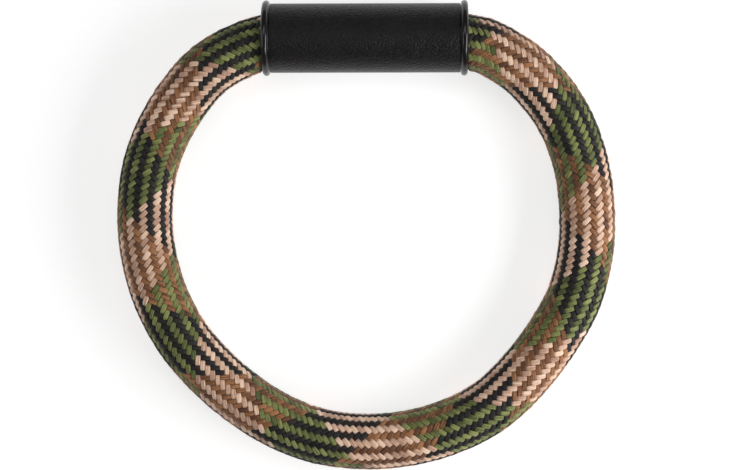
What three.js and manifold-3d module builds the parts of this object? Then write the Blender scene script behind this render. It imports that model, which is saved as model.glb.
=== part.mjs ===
// Ring-shaped training bumper: a length of one-inch braided rope bent into a ring, its two
// ends butted together inside a straight moulded grip sleeve that turns round them.
// Millimetres, +Z up. The ring lies flat on z = 0, the grip sleeve at +Y with its axis along X.

import * as THREE from 'three';
import { mergeVertices } from 'three/addons/utils/BufferGeometryUtils.js';
import Module from 'manifold-3d';

const wasm = await Module();
wasm.setup();

// ---- Driving dimensions ----

const ROPE_RADIUS = 12.7;          // one-inch rope
const COVER_WALL = 2.8;            // braid thickness
const CLEARANCE = 0.3;             // gap kept between pieces that touch

const GRIP_X = 0.2;                // middle of the grip sleeve
const GRIP_Y = 88.9;
const GRIP_LENGTH = 92.5;
const GRIP_BODY_RADIUS = 15.6;
const GRIP_BORE_RADIUS = 13.4;
const RIM_RADIUS = 17.05;          // the rims stand on the same surface as the rope
const RIM_WIDTH = 3.2;
const RIM_FOOT = 0.1;              // the bead meets the body over this length
const MOUTH_RADIUS = 15.3;         // the bore opens out to this at each end
const MOUTH_DEPTH = 5;

const BAND_LENGTH = 60;            // binding wound over the butted ends
const BAND_INNER_RADIUS = 12.2;
const BAND_OUTER_RADIUS = 13.0;

const SEAL_THICKNESS = 1.2;        // melted disc on each cut end
const SEAL_RADIUS = 11.4;
const CORE_STRAND_RADIUS = 2.9;
const CORE_STRAND_PITCH = 6.2;     // from one strand's middle to the next one's
const CORE_STRANDS_ROUND = 6;      // round the middle one

// Plan of the rope's centreline outside the sleeve, from the left mouth round to the right one.
const RING_PLAN = [
  [-54.3, 84.0], [-64.2, 79.2], [-73.4, 72.4], [-87.2, 55.0], [-96.6, 35.0], [-100.0, 13.0],
  [-98.6, -8.3], [-92.9, -28.4], [-83.1, -46.5], [-70.0, -61.8], [-55.1, -74.5],
  [-38.5, -84.7], [-20.0, -91.4], [-0.5, -93.6], [19.3, -92.1], [38.6, -86.8],
  [56.5, -77.4], [71.4, -63.6], [84.0, -47.4], [94.2, -29.2], [99.6, -8.3],
  [100.3, 13.5], [96.9, 35.3], [87.8, 56.1], [73.2, 73.4], [63.8, 80.1], [53.9, 85.3],
];
// Where it lies inside each half of the sleeve: [share of the half length, drop towards the ring].
const GRIP_PLAN = [[0.25, 0], [0.5, 0], [0.75, 0.3], [1, 2.2]];
const LIFT_START_Y = 86.7;         // the rope leaves the sleeve's height here
const LIFT_END_Y = 30;             // and has come down to the surface by here

const ROPE_SIDES = 16;             // flat facet downwards
const CORE_SIDES = 8;
const ROPE_STEPS = 52;
const TURNED_SIDES = 40;
const BEAD_SIDES = 6;              // over the half round of a rim

// ---- Materials ----

const MATERIALS = {
  sleevePlastic: { color: 0x232123, roughness: 0.55 },
  braid: { color: 0x6f5a3c, roughness: 0.9 },
  coreFibre: { color: 0xd8d4c8, roughness: 0.95 },
  fusedFibre: { color: 0x3a3026, roughness: 0.5 },
  bindingTape: { color: 0x2c2c2e, roughness: 0.6 },
};

// ---- The rope's path ----

class RopePath extends THREE.Curve {
  constructor() {
    super();
    const buttHalf = SEAL_THICKNESS + 1.5 * CLEARANCE;
    const inside = (side) => [
      [GRIP_X + side * buttHalf, GRIP_Y],
      ...GRIP_PLAN.map(([share, drop]) => [GRIP_X + side * share * GRIP_LENGTH / 2, GRIP_Y - drop]),
    ];
    const plan = [...inside(-1), ...RING_PLAN, ...inside(1).reverse()];
    this.plan = new THREE.CatmullRomCurve3(
      plan.map(([x, y]) => new THREE.Vector3(x, y, 0)), false, 'centripetal');
  }

  getPoint(t, target = new THREE.Vector3()) {
    this.plan.getPoint(t, target);
    const rise = THREE.MathUtils.smoothstep(target.y, LIFT_END_Y, LIFT_START_Y);
    target.z = ROPE_RADIUS + (RIM_RADIUS - ROPE_RADIUS) * rise;
    return target;
  }

  // Sections stay upright, so the facet underneath lies flat all the way round.
  computeFrenetFrames(segments) {
    const frames = { tangents: [], normals: [], binormals: [] };
    for (let i = 0; i <= segments; i++) {
      const tangent = this.getTangentAt(i / segments);
      const normal = new THREE.Vector3(0, 0, 1).addScaledVector(tangent, -tangent.z).normalize();
      frames.tangents.push(tangent);
      frames.normals.push(normal);
      frames.binormals.push(new THREE.Vector3().crossVectors(tangent, normal));
    }
    return frames;
  }
}

const ropePath = new RopePath();

// Regular polygon with a flat side towards -x, its sides touching a circle of this radius.
function polygonPoints(sides, radius, centreX = 0, centreY = 0) {
  const corner = radius / Math.cos(Math.PI / sides);
  return Array.from({ length: sides }, (_, i) => {
    const angle = (i + 0.5) * 2 * Math.PI / sides;
    return new THREE.Vector2(centreX + corner * Math.cos(angle), centreY + corner * Math.sin(angle));
  });
}

function alongRope(shape) {
  return new THREE.ExtrudeGeometry(shape, { steps: ROPE_STEPS, extrudePath: ropePath });
}

// A profile of [radius, distance along the axis] turned round the sleeve's axis, which is along X.
// The outside of the profile runs towards +X and a bore back towards -X.
function turned(profile) {
  const points = profile.map(([radius, along]) => new THREE.Vector2(radius, along));
  const geometry = new THREE.LatheGeometry(points, TURNED_SIDES);
  geometry.rotateZ(-Math.PI / 2);
  geometry.translate(GRIP_X, GRIP_Y, RIM_RADIUS);
  return geometry;
}

// ---- Boolean cuts ----

const WELD_DISTANCE = 1e-4;
const CUT_MARGIN = 2;              // a cutting tool reaches this far outside what it cuts

function toSolid(geometry) {
  const bare = geometry.clone();
  bare.deleteAttribute('normal');
  bare.deleteAttribute('uv');
  const merged = mergeVertices(bare, WELD_DISTANCE);
  return new wasm.Manifold(new wasm.Mesh({
    numProp: 3,
    vertProperties: new Float32Array(merged.attributes.position.array),
    triVerts: new Uint32Array(merged.index.array),
  }));
}

function cut(geometry, ...tools) {
  let solid = toSolid(geometry);
  for (const tool of tools) solid = solid.subtract(toSolid(tool));
  const mesh = solid.getMesh();
  const result = new THREE.BufferGeometry();
  result.setAttribute('position', new THREE.BufferAttribute(mesh.vertProperties, 3));
  result.setIndex(new THREE.BufferAttribute(mesh.triVerts, 1));
  result.computeVertexNormals();
  return result;
}

// ---- Profiles ----

// Bore of the sleeve, from one end to the other, grown inwards by an allowance.
function boreProfile(allowance) {
  const half = GRIP_LENGTH / 2;
  const flare = MOUTH_RADIUS - GRIP_BORE_RADIUS;
  const mouth = [0, 0.35, 0.7, 1].map((u) => [
    GRIP_BORE_RADIUS + flare * (1 - Math.sqrt(1 - u * u)) - allowance,
    half - MOUTH_DEPTH + MOUTH_DEPTH * u,
  ]);
  const mirrored = mouth.map(([radius, along]) => [radius, -along]).reverse();
  return [...mirrored, ...mouth];
}

function gripSleeve() {
  const half = GRIP_LENGTH / 2;
  const beadRadius = RIM_WIDTH / 2;
  const beadCentre = RIM_RADIUS - beadRadius;
  const bead = [];
  for (let i = 0; i <= BEAD_SIDES; i++) {
    const angle = Math.PI * i / BEAD_SIDES;
    bead.push([beadCentre + beadRadius * Math.sin(angle), half - beadRadius + beadRadius * Math.cos(angle)]);
  }
  const foot = [GRIP_BODY_RADIUS, half - RIM_WIDTH - RIM_FOOT];
  const rightSide = [...bead, foot].reverse();
  const leftSide = rightSide.map(([radius, along]) => [radius, -along]).reverse();
  const bore = boreProfile(0).reverse();
  return turned([...leftSide, ...rightSide, ...bore, leftSide[0]]);
}

// What the sleeve leaves of the rope: everything nearer its wall than the clearance is squeezed in.
function squeezeBySleeve() {
  const bore = boreProfile(CLEARANCE).reverse();
  const outer = RIM_RADIUS + CUT_MARGIN;
  const end = GRIP_LENGTH / 2 + CLEARANCE;
  const mouthRadius = bore[0][0];
  return turned([
    [outer, -end], [outer, end], [mouthRadius, end], ...bore, [mouthRadius, -end], [outer, -end],
  ]);
}

function squeezeByBand() {
  const half = BAND_LENGTH / 2 + CLEARANCE;
  const inner = BAND_INNER_RADIUS - CLEARANCE;
  const outer = ROPE_RADIUS + CUT_MARGIN;
  return turned([[outer, -half], [outer, half], [inner, half], [inner, -half], [outer, -half]]);
}

// ---- Rope ----

function braidedCover() {
  const section = new THREE.Shape(polygonPoints(ROPE_SIDES, ROPE_RADIUS));
  section.holes.push(new THREE.Path(polygonPoints(ROPE_SIDES, ROPE_RADIUS - COVER_WALL)));
  return cut(alongRope(section), squeezeBySleeve(), squeezeByBand());
}

// Strand 0 is the middle one, and the others stand round it.
function coreStrand(index) {
  const offset = index === 0 ? 0 : CORE_STRAND_PITCH;
  const angle = 2 * Math.PI * index / CORE_STRANDS_ROUND;
  const section = polygonPoints(
    CORE_SIDES, CORE_STRAND_RADIUS, offset * Math.cos(angle), offset * Math.sin(angle));
  return alongRope(new THREE.Shape(section));
}

// A thin disc with softened edges on the cut end, on the -X or the +X side of the butt joint.
function endSeal(side) {
  const middle = side * (CLEARANCE + SEAL_THICKNESS) / 2;
  const [low, high] = [middle - SEAL_THICKNESS / 2, middle + SEAL_THICKNESS / 2];
  const edge = SEAL_THICKNESS / 3;
  return turned([
    [0, low], [SEAL_RADIUS - edge, low], [SEAL_RADIUS, low + edge],
    [SEAL_RADIUS, high - edge], [SEAL_RADIUS - edge, high], [0, high],
  ]);
}

function bindingBand() {
  const half = BAND_LENGTH / 2;
  return turned([
    [BAND_OUTER_RADIUS, -half], [BAND_OUTER_RADIUS, half],
    [BAND_INNER_RADIUS, half], [BAND_INNER_RADIUS, -half], [BAND_OUTER_RADIUS, -half],
  ]);
}

// ---- Assembly ----

const bumper = new THREE.Group();
bumper.name = 'training_bumper';

function add(name, geometry, finish) {
  const mesh = new THREE.Mesh(geometry, new THREE.MeshStandardMaterial({ ...finish, metalness: 0 }));
  mesh.name = name;
  bumper.add(mesh);
}

add('grip_sleeve', gripSleeve(), MATERIALS.sleevePlastic);
add('braided_cover', braidedCover(), MATERIALS.braid);
for (let i = 0; i <= CORE_STRANDS_ROUND; i++) {
  add(`core_strand_${i + 1}`, coreStrand(i), MATERIALS.coreFibre);
}
add('end_seal_left', endSeal(-1), MATERIALS.fusedFibre);
add('end_seal_right', endSeal(1), MATERIALS.fusedFibre);
add('binding_band', bindingBand(), MATERIALS.bindingTape);

export default bumper;
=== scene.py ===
import math

import bpy
import numpy as np
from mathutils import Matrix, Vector


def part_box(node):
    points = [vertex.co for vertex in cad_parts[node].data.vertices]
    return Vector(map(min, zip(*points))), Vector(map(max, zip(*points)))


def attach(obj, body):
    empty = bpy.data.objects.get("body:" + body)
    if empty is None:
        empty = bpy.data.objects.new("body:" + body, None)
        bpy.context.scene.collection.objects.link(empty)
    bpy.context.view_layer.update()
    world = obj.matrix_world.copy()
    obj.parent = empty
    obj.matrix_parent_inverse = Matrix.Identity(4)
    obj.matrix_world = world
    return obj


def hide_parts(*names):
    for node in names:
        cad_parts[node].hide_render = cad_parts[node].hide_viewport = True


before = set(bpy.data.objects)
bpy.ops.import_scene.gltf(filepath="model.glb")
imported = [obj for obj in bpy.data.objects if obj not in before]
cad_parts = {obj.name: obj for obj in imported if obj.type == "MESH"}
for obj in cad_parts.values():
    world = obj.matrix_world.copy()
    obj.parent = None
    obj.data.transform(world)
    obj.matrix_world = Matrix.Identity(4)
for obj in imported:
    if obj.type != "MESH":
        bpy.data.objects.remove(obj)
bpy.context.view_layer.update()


# ---- Driving dimensions, in metres; angles in degrees ----

ROPE_RADIUS = 0.0127

# The braid's lay: the S bundles wind one way round the rope and the Z bundles the other way.
STRANDS = 24                 # yarn bundles winding each way
PITCH = 0.0752               # rope length in which a bundle goes once round
COLUMN = 30.0                # from one column of floats to the next column of the same hand
COLUMN_PHASE = 1.5           # a column of S floats stands at this angle from the top
START_PHASE = {"S": 10.5, "Z": 15.0}     # where bundle 0 of each hand stands at PHASE_X
COLOUR_START = {"S": 3, "Z": -8}     # number of the first tan bundle, and of the last brown one
PHASE_X = -0.0576            # the phases are counted from where the rope passes this x, on the left
# How far the rope is twisted, in degrees, at a share of its length from its left end.
TWIST = [(0.0, 5.0), (0.14, 4.5), (0.2, 2.5), (0.4, 0.5), (0.55, -1.2), (0.7, 2.0), (0.8, 6.0), (1.0, 6.0)]
# How far the braid is pushed along the rope at a share of its length: it bunches up at the sleeve's mouths.
DRIFT = [(0.0, 0.0), (0.067, 0.0026), (0.102, 0.0004), (0.14, -0.0004), (0.21, -0.0004), (0.245, 0.0),
         (0.45, 0.0), (0.6, -0.0009), (0.73, -0.0009), (0.8, 0.0), (0.86, 0.0005), (0.9075, -0.0010),
         (0.935, -0.0042), (1.0, 0.0)]

# A bundle of yarn.
BUNDLE_HALF_THICKNESS = 0.00056
BUNDLE_HALF_WIDTH = 0.00113
BUNDLE_GIRTH = 0.0062        # length of its outline
WAVE = 0.00058               # how far its middle goes up and down
WAVE_SINK = 0.00004          # lowers all floats a little, so that the highest don't stand out of the rope
SQUARENESS = 2.6             # how flat the floats are and how steeply they dive
WAVE_START = -0.25           # a wave's rings are counted from a quarter of a wave before its top
WAVE_RINGS = (0.0, 0.045, 0.11, 0.19, 0.25, 0.31, 0.39, 0.455, 0.5, 0.57, 0.68, 0.82, 0.93)
END_MARGIN = 0.02            # share of a wave kept clear of rings at each end of the yarn
DIVE_SPAN = 0.45             # share of the wave's height in which a bundle counts as diving
DIVE_NARROWING = 0.13        # a diving bundle is pinched to a narrower and thinner section
DIVE_THINNING = 0.10
# Half of a bundle's section, which has three plies side by side: from the middle of its underside round
# to the dip beside its middle ply. Each point is a share of the half width and of the half thickness.
HALF_SECTION = [(0.0, -0.92), (0.62, -0.85), (0.98, -0.32), (0.95, 0.46), (0.63, 0.90), (0.32, 0.66)]
BIAS = {"tan": 0.06, "green": 0.0, "black": 0.0, "brown": 0.0}      # longer floats for the fuller yarn
FULLNESS = {"tan": 1.03, "green": 1.0, "black": 0.98, "brown": 0.99}
# How unlike each other the floats are, one standard deviation.
LIFT_SPREAD = 0.00006
WIDTH_SPREAD = 0.05          # share of the width
ASIDE_SPREAD = 0.45          # degrees round the rope
TONE_LIMIT = 2.5             # standard deviations
PIECE_UV_STEP = 0.37         # keeps the yarns of one piece from looking alike

# The sleeve.
GRIP_BORE_RADIUS = 0.0134
GRIP_BODY_RADIUS = 0.0156
RIM_WIDTH = 0.0032
MOUTH_RADIUS = 0.0153
MOUTH_DEPTH = 0.005
GROOVE = 0.0003              # width scale of the fine groove at the foot of each rim
# The groove's section: its depth, and how far it lies back from the rim's foot, in grooves.
GROOVE_SECTION = [(0.1, 1.6), (0.45, 1.2), (0.6, 0.7), (0.6, 0.1)]
RIM_CLEAR = 0.0001           # the bead's own points start this far past its foot
BORE_START = 0.004           # the straight bore's first ring lies this far in from the mouth's flare
SLEEVE_SIDES = 192
BODY_RINGS = 16
BEAD_STEPS = 24
MOUTH_RINGS = 13
BORE_RINGS = 12

# What the sleeve and the braid hide.
BAND_LENGTH = 0.060
BAND_INNER = 0.0122
BAND_OUTER = 0.0130
TAPE_STEP = 0.009            # how far each turn of the binding tape moves along
TAPE_THICKNESS = 0.00035
TAPE_EDGE = 0.05             # share of a turn in which the tape's edge steps down
BAND_RINGS = 181
BAND_BORE_STEP = 6           # the bore has a ring for every sixth one outside
BAND_SIDES = 144
SEAL_THICKNESS = 0.0012
SEAL_RADIUS = 0.0114
SEAL_ROUNDING = SEAL_THICKNESS / 3
SEAL_SIDES = 72
SEAL_FACE_RINGS = 9
SEAL_CAP = 0.05              # the flat cap in the middle of each face, as a share of the face's radius
SEAL_LUMP_SIZE = 0.0045
SEAL_LUMP_EDGE = 0.012       # share of the radius that the lumps take off the edge
SEAL_LUMP_FACE = (0.88, 0.06)    # mean thickness and its variation, as shares of the full thickness
CORE_STRAND_RADIUS = 0.0029
CORE_STRAND_PITCH = 0.0062
CORE_STRANDS_ROUND = 6
CORE_PLIES = 3
CORE_TWIST = 0.042           # length in which a core yarn's plies go once round
CORE_LOBE = 0.06             # share of the radius by which a ply stands out
CORE_RIPPLE = 0.00006
CORE_RIPPLE_SIZE = 0.004
CORE_RING_SPACING = 0.0025
CORE_SIDES = 18

# Gaps.
CLEARANCE = 0.0003
BORE_GAP = 0.00018           # between the yarns and what presses on them
LIP_REACH = 0.0008           # the bore's lip presses the yarns this far outside the mouth
FLOOR_GAP = 0.00002
BUTT_HALF = SEAL_THICKNESS + 1.5 * CLEARANCE     # from the sleeve's middle to the end of the yarns

grip_low, grip_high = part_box("grip_sleeve")
GRIP_MIDDLE = (grip_low + grip_high) / 2
GRIP_LENGTH = grip_high.x - grip_low.x
RIM_RADIUS = (grip_high.z - grip_low.z) / 2

# Plan of the rope's centreline outside the sleeve, from the left mouth round to the right one.
RING_PLAN = [
    (-0.0543, 0.0840), (-0.0642, 0.0792), (-0.0734, 0.0724), (-0.0872, 0.0550), (-0.0966, 0.0350),
    (-0.1000, 0.0130), (-0.0986, -0.0083), (-0.0929, -0.0284), (-0.0831, -0.0465), (-0.0700, -0.0618),
    (-0.0551, -0.0745), (-0.0385, -0.0847), (-0.0200, -0.0914), (-0.0005, -0.0936), (0.0193, -0.0921),
    (0.0386, -0.0868), (0.0565, -0.0774), (0.0714, -0.0636), (0.0840, -0.0474), (0.0942, -0.0292),
    (0.0996, -0.0083), (0.1003, 0.0135), (0.0969, 0.0353), (0.0878, 0.0561), (0.0732, 0.0734),
    (0.0638, 0.0801), (0.0539, 0.0853),
]
# Where it lies inside each half of the sleeve: share of the half length, drop towards the ring.
GRIP_PLAN = [(0.25, 0.0), (0.5, 0.0), (0.75, 0.0003), (1.0, 0.0022)]
LIFT_START_Y = 0.0867        # the rope leaves the sleeve's height here
LIFT_END_Y = 0.030           # and has come down to the surface by here

CAMERA_HEIGHT = 0.90
CAMERA_X = 0.023
CAMERA_TARGET = (0.0, 0.0004, ROPE_RADIUS)
FRAME_WIDTH = 0.3311         # what the picture's width takes in at the rope's mid-height
SENSOR_WIDTH = 36.0          # millimetres

# Soft boxes: azimuth and elevation in degrees, distance, width and height in metres, watts.
SOFT_BOXES = {
    "key_right": (-16, 32, 0.85, (0.8, 0.34), 6.8),
    "left_strip": (180, 32, 1.1, (0.7, 0.30), 2.0),
    "overhead": (90, 68, 1.1, (0.8, 0.4), 1.9),
}
AMBIENT = 0.16
FLOOR_HALF_SIZE = 8.0
FLOOR_WHITE = 0.5
FLOOR_ROUGHNESS = 0.9
FLOOR_GLOW = 0.68            # a lit table top under white paper

# Seeds of what looks random: the braid and each core yarn, and the end seals.
SEED = 11
SEAL_SEED = 31


# ---- Camera ----

def make_camera():
    data = bpy.data.cameras.new("camera")
    camera = bpy.data.objects.new("camera", data)
    bpy.context.scene.collection.objects.link(camera)
    camera.location = (CAMERA_X, 0.0, CAMERA_HEIGHT)
    towards = Vector(CAMERA_TARGET) - camera.location
    data.sensor_width = SENSOR_WIDTH
    data.lens = data.sensor_width * towards.length / FRAME_WIDTH
    camera.rotation_euler = (0.0, -math.atan2(towards.x, -towards.z), 0.0)
    bpy.context.scene.camera = camera


make_camera()


# ---- The rope's centreline ----

def smoothstep(t):
    t = np.clip(t, 0.0, 1.0)
    return t * t * (3.0 - 2.0 * t)


def catmull_rom(points, per_span=60):
    """Points along a centripetal Catmull-Rom curve through points."""
    points = np.array(points, float)
    ends = [2 * points[:1] - points[1:2], points, 2 * points[-1:] - points[-2:-1]]
    p = np.concatenate(ends)
    curve = []
    for i in range(1, len(p) - 2):
        p0, p1, p2, p3 = p[i - 1:i + 3]
        k0, k1, k2 = (math.sqrt(np.linalg.norm(b - a)) for a, b in ((p0, p1), (p1, p2), (p2, p3)))
        m1 = (p1 - p0) / k0 - (p2 - p0) / (k0 + k1) + (p2 - p1) / k1
        m2 = (p2 - p1) / k1 - (p3 - p1) / (k1 + k2) + (p3 - p2) / k2
        m1, m2 = m1 * k1, m2 * k1
        t = np.arange(per_span)[:, None] / per_span
        curve.append(
            (2 * t**3 - 3 * t**2 + 1) * p1 + (t**3 - 2 * t**2 + t) * m1
            + (3 * t**2 - 2 * t**3) * p2 + (t**3 - t**2) * m2)
    return np.concatenate(curve + [points[-1:]])


class Centreline:
    """The rope's centreline with an upright frame: s is the distance from the left end of the rope."""

    def __init__(self, spacing=0.0005, soften=0.004):
        x0, y0 = GRIP_MIDDLE.x, GRIP_MIDDLE.y

        def inside(side):
            stations = [(x0 + side * share * GRIP_LENGTH / 2, y0 - drop) for share, drop in GRIP_PLAN]
            return [(x0 + side * BUTT_HALF, y0)] + stations

        plan = catmull_rom(inside(-1) + RING_PLAN + inside(1)[::-1])
        rise = smoothstep((plan[:, 1] - LIFT_END_Y) / (LIFT_START_Y - LIFT_END_Y))
        height = ROPE_RADIUS + (RIM_RADIUS - ROPE_RADIUS) * rise
        line = np.column_stack([plan, height])
        steps = np.linalg.norm(np.diff(line, axis=0), axis=1)
        along = np.concatenate([[0.0], np.cumsum(steps)])
        self.length = along[-1]
        self.s = np.linspace(0.0, self.length, int(self.length / spacing) + 1)
        line = np.column_stack([np.interp(self.s, along, line[:, k]) for k in range(3)])
        self.line = self.softened(line, int(soften / spacing))
        tangent = np.gradient(self.line, axis=0)
        tangent /= np.linalg.norm(tangent, axis=1)[:, None]
        up = np.array([0.0, 0.0, 1.0]) - tangent * tangent[:, 2:3]
        self.up = up / np.linalg.norm(up, axis=1)[:, None]
        self.inward = np.cross(self.up, tangent)

    @staticmethod
    def softened(line, reach):
        """Evens out the curvature between the route's points, leaving both ends where they are."""
        kernel = np.hanning(2 * reach + 1)
        kernel /= kernel.sum()
        first = 2 * line[:1] - line[1:reach + 1][::-1]
        last = 2 * line[-1:] - line[-reach - 1:-1][::-1]
        padded = np.concatenate([first, line, last])
        return np.column_stack([np.convolve(padded[:, k], kernel, "valid") for k in range(3)])

    def at(self, values, s):
        """Vectors given at the stations, read at the distances s."""
        return np.stack([np.interp(s, self.s, values[:, k]) for k in range(3)], axis=-1)

    def shared(self, table, s):
        """A table of (share of the rope's length, value), read at the distances s."""
        return np.interp(s / self.length, *zip(*table))

    def left_crossing(self, x):
        """The distance at which the rope first passes x, in its first sixth, which runs to the left."""
        left = self.s < self.length / 6
        return float(np.interp(x, self.line[left, 0][::-1], self.s[left][::-1]))

    def wrap(self, s, phi, rho):
        """The point at distance rho from the centreline, phi radians round from the top towards the ring."""
        up, inward = self.at(self.up, s), self.at(self.inward, s)
        out = np.cos(phi)[..., None] * up + np.sin(phi)[..., None] * inward
        return self.at(self.line, s) + rho[..., None] * out, out


rope = Centreline()


def bore_radius(from_middle):
    """Inner radius of the sleeve at this distance from its middle."""
    depth = np.clip((from_middle - GRIP_LENGTH / 2 + MOUTH_DEPTH) / MOUTH_DEPTH, 0, 1)
    return GRIP_BORE_RADIUS + (MOUTH_RADIUS - GRIP_BORE_RADIUS) * (1 - np.sqrt(1 - depth**2))


def squeeze(points):
    """Presses the rope in from the sleeve's bore and the binding band, and up off the floor.

    The bore's lip already presses a little way outside the mouth, and the yarns end at the butt joint.
    """
    x, y, z = points[..., 0], points[..., 1], points[..., 2]
    dy, dz = y - GRIP_MIDDLE.y, z - GRIP_MIDDLE.z
    from_axis = np.maximum(np.hypot(dy, dz), 1e-9)
    from_middle = np.abs(x - GRIP_MIDDLE.x)
    room = bore_radius(from_middle - LIP_REACH) - BORE_GAP
    room = np.where(from_middle < BAND_LENGTH / 2 + CLEARANCE, BAND_INNER - BORE_GAP, room)
    inside = (from_middle < GRIP_LENGTH / 2 + LIP_REACH) & (y > 0)
    shrink = np.where(inside, np.minimum(1.0, room / from_axis), 1.0)
    trimmed = GRIP_MIDDLE.x + np.sign(x - GRIP_MIDDLE.x) * np.maximum(from_middle, BUTT_HALF)
    return np.stack([
        np.where(inside, trimmed, x),
        GRIP_MIDDLE.y + dy * shrink,
        np.maximum(GRIP_MIDDLE.z + dz * shrink, FLOOR_GAP),
    ], axis=-1)


# ---- Mesh building ----

def new_piece(name, points, quads, caps=(), uvs=None, attributes=None):
    """A smooth mesh object from vertex positions, quads, end caps of any number of sides, and loop UVs."""
    mesh = bpy.data.meshes.new(name)
    loops = np.concatenate([quads.ravel()] + [np.asarray(c).ravel() for c in caps]).astype(np.int32)
    sizes = np.concatenate([np.full(len(quads), 4), [len(c) for c in caps]]).astype(np.int32)
    starts = np.concatenate([[0], np.cumsum(sizes)[:-1]]).astype(np.int32)
    mesh.vertices.add(len(points))
    mesh.vertices.foreach_set("co", points.astype(np.float32).ravel())
    mesh.loops.add(len(loops))
    mesh.loops.foreach_set("vertex_index", loops)
    mesh.polygons.add(len(sizes))
    mesh.polygons.foreach_set("loop_start", starts)
    mesh.update(calc_edges=True)
    mesh.polygons.foreach_set("use_smooth", np.full(len(sizes), True))
    if uvs is not None:
        layer = mesh.uv_layers.new(name="strand")
        flat = np.zeros((len(loops), 2), np.float32)
        flat[:len(uvs)] = uvs
        layer.data.foreach_set("uv", flat.ravel())
    for key, values in (attributes or {}).items():
        attribute = mesh.attributes.new(key, "FLOAT", "POINT")
        attribute.data.foreach_set("value", values.astype(np.float32).ravel())
    mesh.validate()
    piece = bpy.data.objects.new(name, mesh)
    bpy.context.scene.collection.objects.link(piece)
    return piece


def tube_quads(rings, sides, first=0):
    """Quads of a tube of rings x sides vertices whose sides run with the clock seen along its run."""
    i = np.arange(rings - 1)[:, None]
    j = np.arange(sides)[None, :]
    k = (j + 1) % sides
    corners = [i * sides + j, (i + 1) * sides + j, (i + 1) * sides + k, i * sides + k]
    return first + np.stack(corners, axis=-1).reshape(-1, 4)


def tube_caps(rings, sides, first=0):
    """The polygons that close both ends of such a tube."""
    near = first + np.arange(sides)
    return [near, near[::-1] + (rings - 1) * sides]


def tube_uvs(along, girth, sides):
    """Loop UVs in metres: along the tube, and round it without a jump at the seam."""
    rings = len(along)
    j = np.arange(sides)
    low = np.broadcast_to((j / sides * girth)[None, :], (rings - 1, sides))
    high = np.broadcast_to(((j + 1) / sides * girth)[None, :], (rings - 1, sides))
    near = np.broadcast_to(along[:-1, None], (rings - 1, sides))
    far = np.broadcast_to(along[1:, None], (rings - 1, sides))
    loops = [(near, low), (far, low), (far, high), (near, high)]
    return np.stack([np.stack(pair, axis=-1) for pair in loops], axis=2).reshape(-1, 2)


# ---- The braid ----

SECTION = np.array(HALF_SECTION + [(0.0, 1.0)] + [(-side, top) for side, top in HALF_SECTION[:0:-1]])


def colour_of(hand, index):
    first = COLOUR_START[hand]
    if hand == "S":
        return "tan" if (index - first) % STRANDS < STRANDS // 2 else "green"
    return "brown" if (first - index) % STRANDS < STRANDS // 2 else "black"


def wave_stations(hand, index):
    """Where a bundle has its rings: wave number, degrees round the untwisted rope, distance along it.

    The wave number counts the bundle's waves: it is on top at whole numbers and underneath half way between.
    """
    turn = 1.0 if hand == "S" else -1.0
    start = START_PHASE[hand] + 360.0 / STRANDS * index
    column = COLUMN_PHASE + (0.0 if hand == "S" else COLUMN / 2)
    offset = rope.left_crossing(PHASE_X)

    def wave_at(s):
        phi = start - turn * 360.0 * (s - offset) / PITCH
        return (phi - column) / COLUMN

    low, high = sorted((wave_at(0.0), wave_at(rope.length)))
    whole = np.arange(math.floor(low) - 1, math.ceil(high) + 1)
    u = (whole[:, None] + WAVE_START + np.array(WAVE_RINGS)[None, :]).ravel()
    u = np.concatenate([[low], u[(u > low + END_MARGIN) & (u < high - END_MARGIN)], [high]])
    if turn > 0:
        u = u[::-1]
    phi = column + COLUMN * u
    return u, phi, offset + turn * (start - phi) * PITCH / 360.0


def chance_by_float(u, spread, rng):
    """A chance value for each float, carried over smoothly from one to the next."""
    first = math.floor(u.min()) - 1
    table = rng.normal(0.0, spread, int(math.ceil(u.max())) + 2 - first)
    low = np.floor(u).astype(int) - first
    return table[low] + (table[low + 1] - table[low]) * smoothstep(u - np.floor(u))


def drifted(s):
    """The distances once the braid is pushed along, and how much of its width each bundle has room for."""
    moved = s + rope.shared(DRIFT, s)
    # Where the braid is pushed together its bundles have less room side by side.
    crowding = np.gradient(moved) / np.gradient(s)
    room = np.minimum(1.0, crowding * math.sqrt(2.0) / np.sqrt(1.0 + crowding**2))
    return moved, room


def sweep_section(points, out, half_width, half_thick):
    """The bundle's section carried along points, its width across the rope's surface."""
    heading = np.gradient(points, axis=0)
    heading /= np.linalg.norm(heading, axis=1)[:, None]
    across = np.cross(heading, out)
    across /= np.linalg.norm(across, axis=1)[:, None]
    normal = np.cross(across, heading)
    side, top = SECTION[:, 0], SECTION[:, 1]
    return (points[:, None, :]
            + across[:, None, :] * (half_width[:, None] * side[None, :])[..., None]
            + normal[:, None, :] * (half_thick[:, None] * top[None, :])[..., None])


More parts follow.
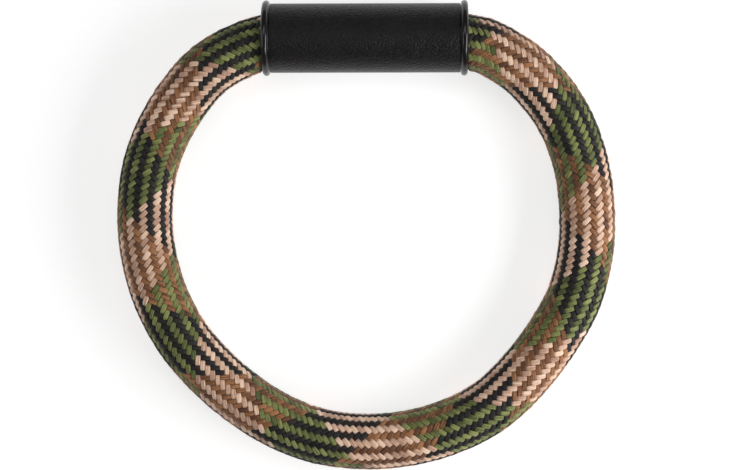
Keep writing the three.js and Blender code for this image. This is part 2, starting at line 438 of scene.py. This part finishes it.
def bundle(hand, index, rng):
    """One yarn bundle from end to end of the rope.

    It holds the vertices, the UVs, and how high and how light each place is.
    """
    colour = colour_of(hand, index)
    u, phi_deg, s = wave_stations(hand, index)
    s, room = drifted(s)
    lift = chance_by_float(u, LIFT_SPREAD, rng)
    widen = chance_by_float(u, WIDTH_SPREAD, rng)
    aside = chance_by_float(u, ASIDE_SPREAD, rng)
    tone = chance_by_float(u, 1.0, rng)

    wave = np.cos(2 * np.pi * u)
    hill = np.tanh(SQUARENESS * (wave + BIAS[colour])) / math.tanh(SQUARENESS)
    crown = np.clip((hill + 1) / 2, 0, 1)
    middle = ROPE_RADIUS - BUNDLE_HALF_THICKNESS - WAVE
    rho = middle + WAVE * np.minimum(hill, 1.0) + lift * crown - WAVE_SINK
    phi = np.radians(phi_deg + rope.shared(TWIST, s) + aside * crown)
    points, out = rope.wrap(s, phi, rho)

    dive = np.exp(-(wave / DIVE_SPAN) ** 2)
    full_width = BUNDLE_HALF_WIDTH * FULLNESS[colour] * room
    half_width = full_width * (1 + widen * crown) * (1 - DIVE_NARROWING * dive)
    half_thick = BUNDLE_HALF_THICKNESS * (1 - DIVE_THINNING * dive)
    verts = squeeze(sweep_section(points, out, half_width, half_thick))

    steps = np.linalg.norm(np.diff(points, axis=0), axis=1)
    along = np.concatenate([[0.0], np.cumsum(steps)])
    sides = len(SECTION)
    return {
        "verts": verts.reshape(-1, 3),
        "rings": len(u),
        "uvs": tube_uvs(along, BUNDLE_GIRTH, sides),
        "crown": np.repeat(crown, sides),
        "tone": np.repeat(np.clip(tone, -TONE_LIMIT, TONE_LIMIT), sides),
    }


def braid_piece(name, hand, indices, rng):
    """A piece of the braid: neighbouring bundles of one colour, each a closed body."""
    parts = [bundle(hand, index, rng) for index in indices]
    sides = len(SECTION)
    points, quads, caps, uvs, first = [], [], [], [], 0
    for part in parts:
        rings = part["rings"]
        points.append(part["verts"])
        quads.append(tube_quads(rings, sides, first))
        uvs.append(part["uvs"] + [PIECE_UV_STEP * len(uvs), 0.0])
        caps += tube_caps(rings, sides, first)
        first += rings * sides
    attributes = {key: np.concatenate([part[key] for part in parts]) for key in ("crown", "tone")}
    return new_piece(name, np.concatenate(points), np.concatenate(quads), caps,
                     np.concatenate(uvs), attributes)


# ---- Materials ----

def node_material(name):
    material = bpy.data.materials.new(name)
    material.use_nodes = True
    tree = material.node_tree
    shader = next(n for n in tree.nodes if n.type == "BSDF_PRINCIPLED")
    return material, tree, shader


def add_node(tree, kind, **settings):
    node = tree.nodes.new(kind)
    for key, value in settings.items():
        if key in node.inputs:
            node.inputs[key].default_value = value
        else:
            setattr(node, key, value)
    return node


def noise_at(tree, place, **settings):
    noise = add_node(tree, "ShaderNodeTexNoise", **settings)
    tree.links.new(place, noise.inputs["Vector"])
    return noise.outputs["Fac"]


def weighted_sum(tree, value, weight, other):
    """value times weight, plus other."""
    total = add_node(tree, "ShaderNodeMath", operation="MULTIPLY_ADD")
    tree.links.new(value, total.inputs[0])
    total.inputs[1].default_value = weight
    tree.links.new(other, total.inputs[2])
    return total.outputs[0]


def colour_ramp(tree, value, stops):
    """Colours at places along value, from its lowest stop to its highest."""
    ramp = add_node(tree, "ShaderNodeValToRGB")
    elements = ramp.color_ramp.elements
    for element, (place, colour) in ((elements[0], stops[0]), (elements[1], stops[-1])):
        element.position = place
        element.color = (*colour, 1)
    for place, colour in stops[1:-1]:
        elements.new(place).color = (*colour, 1)
    tree.links.new(value, ramp.inputs["Fac"])
    return ramp.outputs["Color"]


def map_range(tree, value, low, high, start=0.0, end=1.0):
    """value from start to end, spread over low to high."""
    ranged = add_node(tree, "ShaderNodeMapRange")
    ranged.inputs["From Min"].default_value = start
    ranged.inputs["From Max"].default_value = end
    ranged.inputs["To Min"].default_value = low
    ranged.inputs["To Max"].default_value = high
    tree.links.new(value, ranged.inputs["Value"])
    return ranged.outputs["Result"]


def add_bump(tree, shader, height, strength, distance):
    bump = add_node(tree, "ShaderNodeBump", Strength=strength, Distance=distance)
    tree.links.new(height, bump.inputs["Height"])
    tree.links.new(bump.outputs["Normal"], shader.inputs["Normal"])


# Noise cells per metre along a yarn and across it; filaments lie slightly twisted, in degrees.
FILAMENT_SCALE = (520.0, 7800.0, 1.0)
FILAMENT_TWIST = 2.0
PLY_SCALE = (110.0, 1500.0, 1.0)
FILAMENT_WEIGHT = 0.62       # against the plies
TONE_WEIGHT = 0.13
RAMP_PLACES = (0.46, 0.77, 1.0)      # of the dark, the middle and the light colour
DIVE_SHADE = 0.45            # painted shade: brightness where a bundle is at its lowest
SHADE_SPAN = (0.25, 0.9)     # heights between which it fades, 0 at the lowest and 1 on top
YARN_BUMP = (0.6, 0.00012)   # strength and distance
YARN_ROUGHNESS = (0.50, 0.72)
SHEEN_ROUGHNESS = 0.5


def yarn_noise(tree, uv, scale, twist, **settings):
    """Noise drawn out along the yarn."""
    mapping = add_node(tree, "ShaderNodeMapping", Scale=scale, Rotation=(0.0, 0.0, math.radians(twist)))
    tree.links.new(uv, mapping.inputs["Vector"])
    return noise_at(tree, mapping.outputs["Vector"], Scale=1.0, **settings)


def yarn_material(name, colours, sheen, specular):
    """Multifilament yarn: filaments along the bundle, painted shade where it dives, a tone of its own per
    float.
    """
    material, tree, shader = node_material(name)
    link = tree.links.new
    uv = add_node(tree, "ShaderNodeUVMap", uv_map="strand").outputs["UV"]
    filaments = yarn_noise(tree, uv, FILAMENT_SCALE, FILAMENT_TWIST, Detail=3.0, Roughness=0.6)
    plies = yarn_noise(tree, uv, PLY_SCALE, 0.0, Detail=1.0, Roughness=0.5)
    crown = add_node(tree, "ShaderNodeAttribute", attribute_name="crown").outputs["Fac"]
    tone = add_node(tree, "ShaderNodeAttribute", attribute_name="tone").outputs["Fac"]

    relief = weighted_sum(tree, filaments, FILAMENT_WEIGHT, plies)
    toned = weighted_sum(tree, tone, TONE_WEIGHT, relief)
    colour = colour_ramp(tree, toned, list(zip(RAMP_PLACES, colours)))
    # Painted shade where the bundle goes under its neighbours.
    shade = map_range(tree, crown, DIVE_SHADE, 1.0, *SHADE_SPAN)
    shaded = add_node(tree, "ShaderNodeMix", data_type="RGBA", blend_type="MULTIPLY")
    shaded.inputs["Factor"].default_value = 1.0
    link(colour, shaded.inputs["A"])
    link(shade, shaded.inputs["B"])
    link(shaded.outputs["Result"], shader.inputs["Base Color"])

    link(map_range(tree, filaments, *YARN_ROUGHNESS), shader.inputs["Roughness"])
    add_bump(tree, shader, relief, *YARN_BUMP)
    shader.inputs["Sheen Weight"].default_value = sheen
    shader.inputs["Sheen Roughness"].default_value = SHEEN_ROUGHNESS
    shader.inputs["Specular IOR Level"].default_value = specular
    return material


SLEEVE_DARK = (0.0036, 0.0030, 0.0038)
SLEEVE_LIGHT = (0.0080, 0.0066, 0.0082)
PEBBLES_PER_METRE = 1150.0
SPECKS_PER_METRE = 2400.0
CLOUDS_PER_METRE = 140.0
PEBBLE_WEIGHT = -1.6         # against the specks; a cell is highest in its middle
SLEEVE_BUMP = 0.0002
# Bump strength, lowest and highest roughness, and specular level.
SLEEVE_FINISHES = {
    "grain": (0.85, 0.26, 0.40, 0.25),
    "gloss": (0.05, 0.15, 0.23, 0.45),
}


def sleeve_material(finish):
    """Black moulded plastic: a fine pebble grain on the body, smooth and glossy on the rims."""
    strength, smoothest, roughest, specular = SLEEVE_FINISHES[finish]
    material, tree, shader = node_material(f"sleeve_{finish}")
    link = tree.links.new
    place = add_node(tree, "ShaderNodeTexCoord").outputs["Object"]
    pebbles = add_node(tree, "ShaderNodeTexVoronoi", feature="F1", Scale=PEBBLES_PER_METRE)
    link(place, pebbles.inputs["Vector"])
    specks = noise_at(tree, place, Scale=SPECKS_PER_METRE, Detail=3.0, Roughness=0.6)
    cloud = noise_at(tree, place, Scale=CLOUDS_PER_METRE, Detail=4.0)
    height = weighted_sum(tree, pebbles.outputs["Distance"], PEBBLE_WEIGHT, specks)
    add_bump(tree, shader, height, strength, SLEEVE_BUMP)
    link(colour_ramp(tree, cloud, [(0.0, SLEEVE_DARK), (1.0, SLEEVE_LIGHT)]), shader.inputs["Base Color"])
    link(map_range(tree, cloud, smoothest, roughest), shader.inputs["Roughness"])
    shader.inputs["Specular IOR Level"].default_value = specular
    return material


# Dark and light colour of each hidden material, its specks per metre, roughness and bump distance.
HIDDEN_FINISHES = {
    "core_fibre": ((0.50, 0.47, 0.40), (0.78, 0.75, 0.68), 900.0, 0.85, 0.0002),
    "fused_fibre": ((0.03, 0.022, 0.014), (0.10, 0.075, 0.05), 500.0, 0.4, 0.0003),
    "binding_tape": ((0.02, 0.02, 0.022), (0.06, 0.06, 0.065), 1500.0, 0.55, 0.0001),
}
HIDDEN_RAMP = (0.3, 0.7)
HIDDEN_BUMP_STRENGTH = 0.5


def speckled_material(name):
    """A plain hidden material with a fine uneven surface."""
    dark, light, specks_per_metre, roughness, bump_distance = HIDDEN_FINISHES[name]
    material, tree, shader = node_material(name)
    place = add_node(tree, "ShaderNodeTexCoord").outputs["Object"]
    specks = noise_at(tree, place, Scale=specks_per_metre, Detail=5.0, Roughness=0.6)
    stops = list(zip(HIDDEN_RAMP, (dark, light)))
    tree.links.new(colour_ramp(tree, specks, stops), shader.inputs["Base Color"])
    add_bump(tree, shader, specks, HIDDEN_BUMP_STRENGTH, bump_distance)
    shader.inputs["Roughness"].default_value = roughness
    return material


# Dark, middle and light colour of each yarn, then its sheen and specular level.
YARN_FINISHES = {
    "tan": ([(0.35, 0.19, 0.125), (0.62, 0.38, 0.26), (0.90, 0.64, 0.47)], 0.35, 0.4),
    "brown": ([(0.080, 0.025, 0.008), (0.17, 0.064, 0.019), (0.38, 0.165, 0.064)], 0.2, 0.4),
    "green": ([(0.045, 0.058, 0.012), (0.112, 0.134, 0.032), (0.26, 0.28, 0.085)], 0.2, 0.4),
    "black": ([(0.005, 0.004, 0.005), (0.011, 0.009, 0.009), (0.024, 0.020, 0.018)], 0.05, 0.3),
}
YARNS = {colour: yarn_material(f"yarn_{colour}", *finish) for colour, finish in YARN_FINISHES.items()}


# ---- The rope's pieces: the braid in 24 pairs of bundles ----

def make_braid():
    rng = np.random.default_rng(SEED)
    pieces = []
    numbers = dict.fromkeys(YARNS, 0)
    for hand in ("S", "Z"):
        first = COLOUR_START[hand] + (0 if hand == "S" else 1)
        for pair in range(STRANDS // 2):
            indices = [first + 2 * pair, first + 2 * pair + 1]
            colour = colour_of(hand, indices[0])
            numbers[colour] += 1
            piece = braid_piece(f"braid_{colour}_{numbers[colour]}", hand, indices, rng)
            piece.data.materials.append(YARNS[colour])
            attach(piece, "rope")
            pieces.append(piece)
    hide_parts("braided_cover")
    return pieces


braid = make_braid()


# ---- Turned pieces on the sleeve's axis ----

def spin(profile, sides):
    """Points of a profile of (radius, distance along the axis), turned round the sleeve's axis."""
    radius, along = np.array(profile, float).T
    angles = 2 * np.pi * np.arange(sides) / sides
    return np.stack([
        np.broadcast_to(GRIP_MIDDLE.x + along[:, None], (len(profile), sides)),
        GRIP_MIDDLE.y + radius[:, None] * np.cos(angles)[None, :],
        GRIP_MIDDLE.z - radius[:, None] * np.sin(angles)[None, :],
    ], axis=-1)


def turned_ring(name, profile, sides, wobble=None):
    """A ring: the profile closes on itself, its outside running towards +X and its bore back."""
    points = spin(profile, sides)
    if wobble is not None:
        points = wobble(points)
    quads = tube_quads(len(profile) + 1, sides) % (len(profile) * sides)
    return new_piece(name, points.reshape(-1, 3), quads)


def turned_disc(name, profile, sides, wobble):
    """A disc: the profile runs from near the axis round the edge and back, towards +X."""
    points = wobble(spin(profile, sides))
    quads = tube_quads(len(profile), sides)
    return new_piece(name, points.reshape(-1, 3), quads, tube_caps(len(profile), sides))


def bead_arc(steps):
    """The rim's half-round bead at the +X end, from its foot over the crest to the end face."""
    radius = RIM_WIDTH / 2
    angles = np.linspace(math.pi, 0.0, steps + 1)
    end = GRIP_LENGTH / 2
    return [(RIM_RADIUS - radius + radius * math.sin(a), end - radius + radius * math.cos(a)) for a in angles]


def mirrored(profile):
    return [(radius, -along) for radius, along in reversed(profile)]


def sleeve_profile():
    """Section of the sleeve: the whole outside from the -X end to the +X end, then the bore back."""
    half = GRIP_LENGTH / 2
    foot = half - RIM_WIDTH
    body = [(GRIP_BODY_RADIUS, x) for x in np.linspace(0.0, foot - 2 * GROOVE, BODY_RINGS)]
    groove = [(GRIP_BODY_RADIUS - depth * GROOVE, foot - back * GROOVE) for depth, back in GROOVE_SECTION]
    rim = [point for point in bead_arc(BEAD_STEPS) if point[1] > foot + RIM_CLEAR]
    mouth = [(GRIP_BORE_RADIUS + (MOUTH_RADIUS - GRIP_BORE_RADIUS) * (1 - math.cos(a)),
              half - MOUTH_DEPTH * (1 - math.sin(a))) for a in np.linspace(math.pi / 2, 0, MOUTH_RINGS)]
    bore = [(GRIP_BORE_RADIUS, x) for x in np.linspace(half - MOUTH_DEPTH - BORE_START, 0.0, BORE_RINGS)]
    outside = body[1:] + groove + rim
    inside = mouth + bore
    return mirrored(outside) + body[:1] + outside + inside + mirrored(inside)[1:]


def make_sleeve():
    sleeve = turned_ring("sleeve_shell", sleeve_profile(), SLEEVE_SIDES)
    sleeve.data.materials.append(sleeve_material("grain"))
    sleeve.data.materials.append(sleeve_material("gloss"))
    centres = np.zeros(len(sleeve.data.polygons) * 3)
    sleeve.data.polygons.foreach_get("center", centres)
    from_middle = np.abs(centres[::3] - GRIP_MIDDLE.x)
    on_rim = from_middle > GRIP_LENGTH / 2 - RIM_WIDTH - GROOVE
    sleeve.data.polygons.foreach_set("material_index", on_rim.astype(np.int32))
    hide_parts("grip_sleeve")
    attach(sleeve, "grip")


make_sleeve()


# ---- What the sleeve and the braid hide ----

def ripple(points, scale, seed):
    """Smooth noise of about -1 to 1 from a few plane waves."""
    rng = np.random.default_rng(seed)
    total = np.zeros(points.shape[:-1])
    waves = 7
    for _ in range(waves):
        direction = rng.normal(size=3)
        direction *= 2 * np.pi / (scale * np.linalg.norm(direction))
        total += np.sin(points @ direction + rng.uniform(0, 2 * np.pi))
    return total / math.sqrt(waves)


def make_core_strand(index, material):
    """A soft core yarn of three plies twisted together; number 0 is the middle one."""
    sides = CORE_SIDES
    s = np.linspace(0.0, rope.length, int(rope.length / CORE_RING_SPACING))
    phi = np.full(len(s), -2 * np.pi * index / CORE_STRANDS_ROUND)
    middle, _ = rope.wrap(s, phi, np.full(len(s), CORE_STRAND_PITCH if index else 0.0))
    theta = 2 * np.pi * np.arange(sides) / sides
    lobes = np.cos(CORE_PLIES * (theta[None, :] - 2 * np.pi * s[:, None] / CORE_TWIST))
    radius = CORE_STRAND_RADIUS * (1 - CORE_LOBE + CORE_LOBE * lobes)
    up, inward = rope.at(rope.up, s)[:, None, :], rope.at(rope.inward, s)[:, None, :]
    points = middle[:, None, :] + radius[..., None] * (
        np.cos(theta)[None, :, None] * up + np.sin(theta)[None, :, None] * inward)
    points += CORE_RIPPLE * ripple(points, CORE_RIPPLE_SIZE, SEED + index)[..., None]
    name = f"core_yarn_{index + 1}"
    piece = new_piece(name, points.reshape(-1, 3), tube_quads(len(s), sides), tube_caps(len(s), sides))
    piece.data.materials.append(material)
    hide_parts(f"core_strand_{index + 1}")
    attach(piece, "rope")


def make_end_seal(side, name, material):
    """A disc of yarn ends melted together: both faces lumpy, the edge rounded."""
    middle = side * (CLEARANCE + SEAL_THICKNESS) / 2
    half = SEAL_THICKNESS / 2
    radii = np.linspace(SEAL_CAP, 1.0, SEAL_FACE_RINGS) * (SEAL_RADIUS - SEAL_ROUNDING)
    corner = [(SEAL_RADIUS - SEAL_ROUNDING * (1 - math.sin(a)), half - SEAL_ROUNDING * (1 - math.cos(a)))
              for a in np.radians([30, 60, 90])]
    face = [(r, half) for r in radii]
    far_side = corner[::-1] + face[::-1]
    profile = [(r, middle - x) for r, x in reversed(far_side)] + [(r, middle + x) for r, x in far_side]

    def melted(points):
        lumps = ripple(points, SEAL_LUMP_SIZE, SEAL_SEED + int(side > 0))
        dy = points[..., 1] - GRIP_MIDDLE.y
        dz = points[..., 2] - GRIP_MIDDLE.z
        shrink = 1 - SEAL_LUMP_EDGE * (1 + lumps)
        mean, variation = SEAL_LUMP_FACE
        x = GRIP_MIDDLE.x + middle + (points[..., 0] - GRIP_MIDDLE.x - middle) * (mean + variation * lumps)
        return np.stack([x, GRIP_MIDDLE.y + dy * shrink, GRIP_MIDDLE.z + dz * shrink], axis=-1)

    piece = turned_disc(f"melted_{name}", profile, SEAL_SIDES, melted)
    piece.data.materials.append(material)
    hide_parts(name)
    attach(piece, "rope")


def make_binding_band(material):
    """Tape wound round the joint in overlapping turns."""
    half = BAND_LENGTH / 2
    stations = np.linspace(-half, half, BAND_RINGS)
    profile = [(BAND_OUTER, x) for x in stations] + [(BAND_INNER, x) for x in stations[::-BAND_BORE_STEP]]

    def wound(points):
        dy = points[..., 1] - GRIP_MIDDLE.y
        dz = points[..., 2] - GRIP_MIDDLE.z
        r = np.hypot(dy, dz)
        turns = (points[..., 0] - GRIP_MIDDLE.x + half) / TAPE_STEP + np.arctan2(dz, dy) / (2 * np.pi)
        share = turns - np.floor(turns)
        lap = share * (1 - smoothstep((share - 1 + TAPE_EDGE) / TAPE_EDGE))
        lower = np.where(r > (BAND_INNER + BAND_OUTER) / 2, TAPE_THICKNESS * (1 - lap), 0.0)
        shrink = (r - lower) / r
        return np.stack([points[..., 0], GRIP_MIDDLE.y + dy * shrink, GRIP_MIDDLE.z + dz * shrink], axis=-1)

    piece = turned_ring("wound_tape", profile, BAND_SIDES, wound)
    piece.data.materials.append(material)
    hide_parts("binding_band")
    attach(piece, "rope")


def make_hidden_pieces():
    core = speckled_material("core_fibre")
    for index in range(CORE_STRANDS_ROUND + 1):
        make_core_strand(index, core)
    fused = speckled_material("fused_fibre")
    make_end_seal(-1, "end_seal_left", fused)
    make_end_seal(1, "end_seal_right", fused)
    make_binding_band(speckled_material("binding_tape"))


make_hidden_pieces()


# ---- Floor and lights ----

def make_floor():
    size = FLOOR_HALF_SIZE
    corners = np.array([(-size, -size, 0), (size, -size, 0), (size, size, 0), (-size, size, 0)], float)
    floor = new_piece("floor", corners, np.array([[0, 1, 2, 3]]))
    material, _, shader = node_material("floor_paper")
    shader.inputs["Base Color"].default_value = (FLOOR_WHITE, FLOOR_WHITE, FLOOR_WHITE, 1)
    shader.inputs["Roughness"].default_value = FLOOR_ROUGHNESS
    shader.inputs["Emission Color"].default_value = (1, 1, 1, 1)
    shader.inputs["Emission Strength"].default_value = FLOOR_GLOW
    floor.data.materials.append(material)


def area_light(name, azimuth, elevation, distance, size, power):
    """A soft box: azimuth from +X against the clock, width across and height up its face."""
    data = bpy.data.lights.new(name, "AREA")
    data.shape = "RECTANGLE"
    data.size, data.size_y = size
    data.energy = power
    light = bpy.data.objects.new(name, data)
    bpy.context.scene.collection.objects.link(light)
    a, e = math.radians(azimuth), math.radians(elevation)
    where = Vector((math.cos(a) * math.cos(e), math.sin(a) * math.cos(e), math.sin(e))) * distance
    light.location = where
    light.rotation_euler = (-where).to_track_quat("-Z", "Y").to_euler()


def make_lights():
    for name, settings in SOFT_BOXES.items():
        area_light(name, *settings)
    world = bpy.data.worlds.new("studio")
    bpy.context.scene.world = world
    world.use_nodes = True
    background = world.node_tree.nodes["Background"]
    background.inputs["Color"].default_value = (1, 1, 1, 1)
    background.inputs["Strength"].default_value = AMBIENT


make_floor()
make_lights()
bpy.context.scene.view_settings.view_transform = "Standard"
